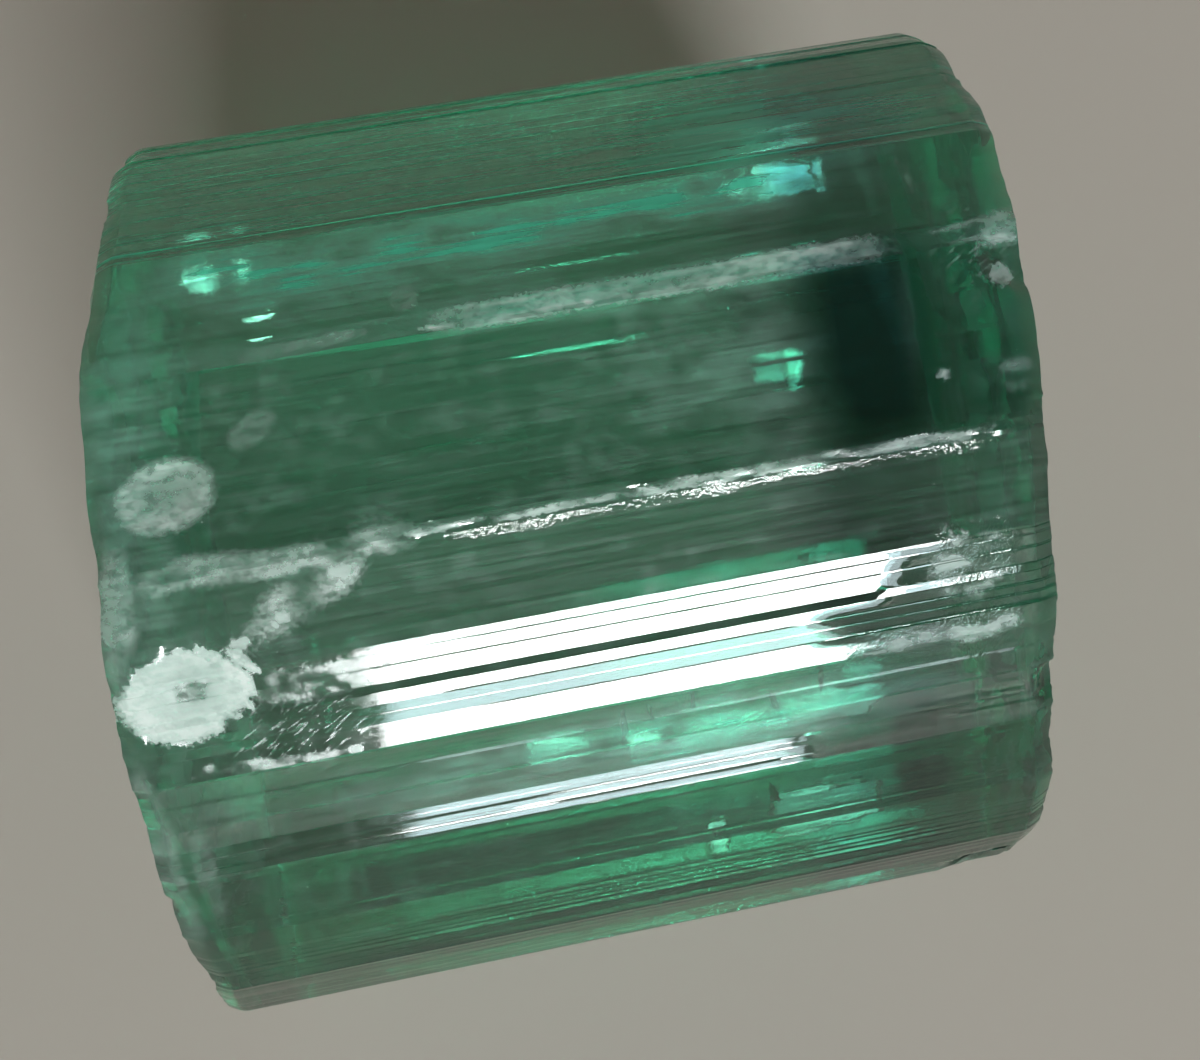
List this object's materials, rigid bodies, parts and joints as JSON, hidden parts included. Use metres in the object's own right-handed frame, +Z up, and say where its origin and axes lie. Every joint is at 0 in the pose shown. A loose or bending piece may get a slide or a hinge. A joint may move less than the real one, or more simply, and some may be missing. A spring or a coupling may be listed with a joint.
{
  "type": "tourmaline crystal",
  "caption": "Stubby striated green tourmaline crystal, a nearly round many-sided prism broken flat at both ends, lying on a prism face.",
  "frame": {"origin": "under the middle of the crystal's outline, on the surface that it rests on", "axes": "+X along the prism, +Z up from the prism face that it rests on, -Y towards the side that the picture shows lowest"},
  "size_m": [0.0148, 0.0152, 0.0147],
  "materials": {
    "green_tourmaline": "clear deep green with glossy striated faces, two frosted ridges, two white bruises and dull broken ends"
  },
  "bodies": {
    "root": {"tourmaline_crystal": "green_tourmaline"}
  },
  "joints": []
}
